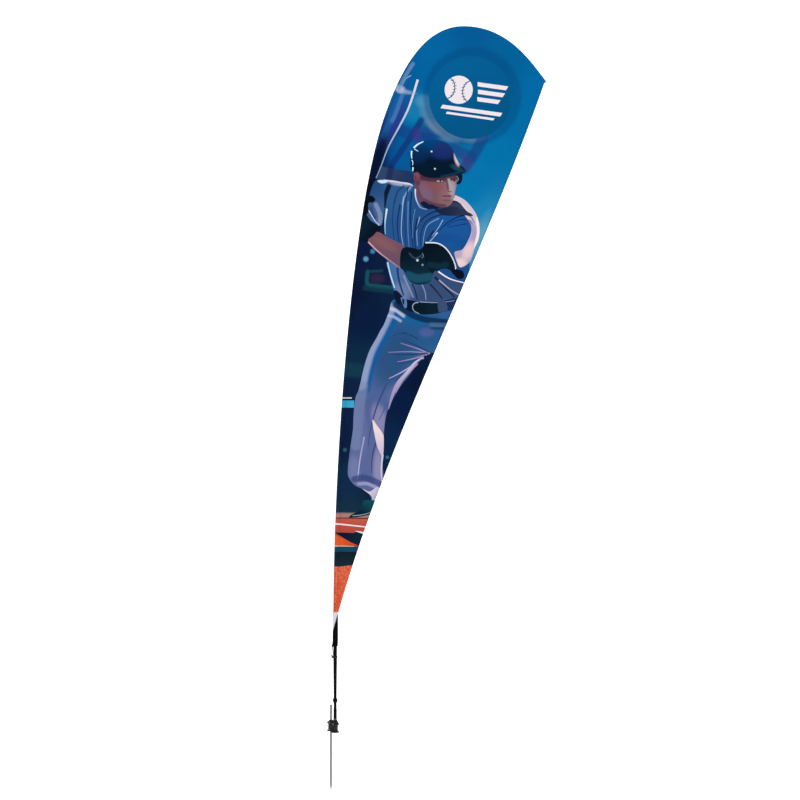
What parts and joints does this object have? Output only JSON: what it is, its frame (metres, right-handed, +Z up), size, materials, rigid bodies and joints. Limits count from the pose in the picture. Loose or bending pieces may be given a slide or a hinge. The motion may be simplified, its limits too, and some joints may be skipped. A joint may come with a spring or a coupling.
{
  "type": "teardrop flag",
  "caption": "Double-sided teardrop flag on a bow pole with a swivelling ground spike.",
  "frame": {"origin": "on the spike's axis at the ground line, level with the underside of the hub's foot", "axes": "+Z up along the spike and the pole's straight foot, +X towards the bow's free tip, +Y away from the viewer through the flat of the flag"},
  "size_m": [1.4213, 0.054, 4.9556],
  "materials": {
    "spike": "bright zinc and chrome plate with fine drawn lines and soil scuffs",
    "hub": "black glass-filled nylon, fine moulded grain, satin",
    "fastener": "zinc-plated steel, satin",
    "bush": "natural nylon, satin",
    "spindle_steel": "turned steel",
    "spindle_black": "black moulded nylon, satin",
    "o_ring": "black rubber",
    "pole_foot": "black anodised aluminium tube, satin",
    "pole": "black wound glass fibre, semi-gloss",
    "ferrule": "plain steel spigot",
    "print": "dye-printed knitted polyester, all-over picture, slight sheen",
    "liner": "dark block-out cloth",
    "tail_white": "white woven polyester",
    "tail_black": "black heavy nylon cloth and webbing",
    "hook": "nickel-plated cast snap hook"
  },
  "bodies": {
    "stake": {"spike_rod": "spike", "hub_front": "hub", "hub_back": "hub", "hub_bolt_1": "fastener", "hub_bolt_2": "fastener", "hub_bolt_3": "fastener", "hub_nut_1": "fastener", "hub_nut_2": "fastener", "hub_nut_3": "fastener", "lower_bush": "bush", "upper_bush": "bush"},
    "spindle": {"spindle_shaft": "spindle_steel", "thrust_washer": "spindle_steel", "spacer_sleeve": "spindle_black", "neck_sleeve": "spindle_black", "stop_collar": "spindle_black", "pole_peg": "spindle_black", "o_ring_1": "o_ring", "o_ring_2": "o_ring", "lock_nut": "fastener", "retaining_washer": "spindle_steel"},
    "pole": {"pole_section_1": "pole_foot", "pole_section_2": "pole", "pole_section_3": "pole", "pole_section_4": "pole", "pole_section_5": "pole", "ferrule_1": "ferrule", "ferrule_2": "ferrule", "ferrule_3": "ferrule", "ferrule_4": "ferrule", "pole_tip_cap": "o_ring", "flag_liner": "liner", "flag_panel_front": "print", "flag_panel_back": "print", "pole_sleeve": "print", "tip_pocket": "print", "tail_facing": "tail_white", "tail_cuff": "tail_black", "tail_tab": "tail_black", "snap_hook": "hook", "gate_pin": "spindle_steel", "pole_band": "hub", "anchor_pin": "spindle_steel"},
    "gate": {"hook_gate": "hook"}
  },
  "joints": [
    {"name": "flag_swivel", "type": "hinge", "parent": "stake", "child": "spindle", "pos_m": [0.027, 0, 0.1], "axis": [0, 0, 1], "continuous": true},
    {"name": "pole_lift", "type": "slide", "parent": "spindle", "child": "pole", "axis": [0, 0, 1], "range_m": [0, 0.15]},
    {"name": "gate_hinge", "type": "hinge", "parent": "pole", "child": "gate", "pos_m": [0.00253, -0.01413, 0.504], "axis": [-0.5, 0.866, 0], "range_deg": [0, 25], "stiffness_Nm_per_rad": 0.02, "springref_deg": -11.46}
  ]
}
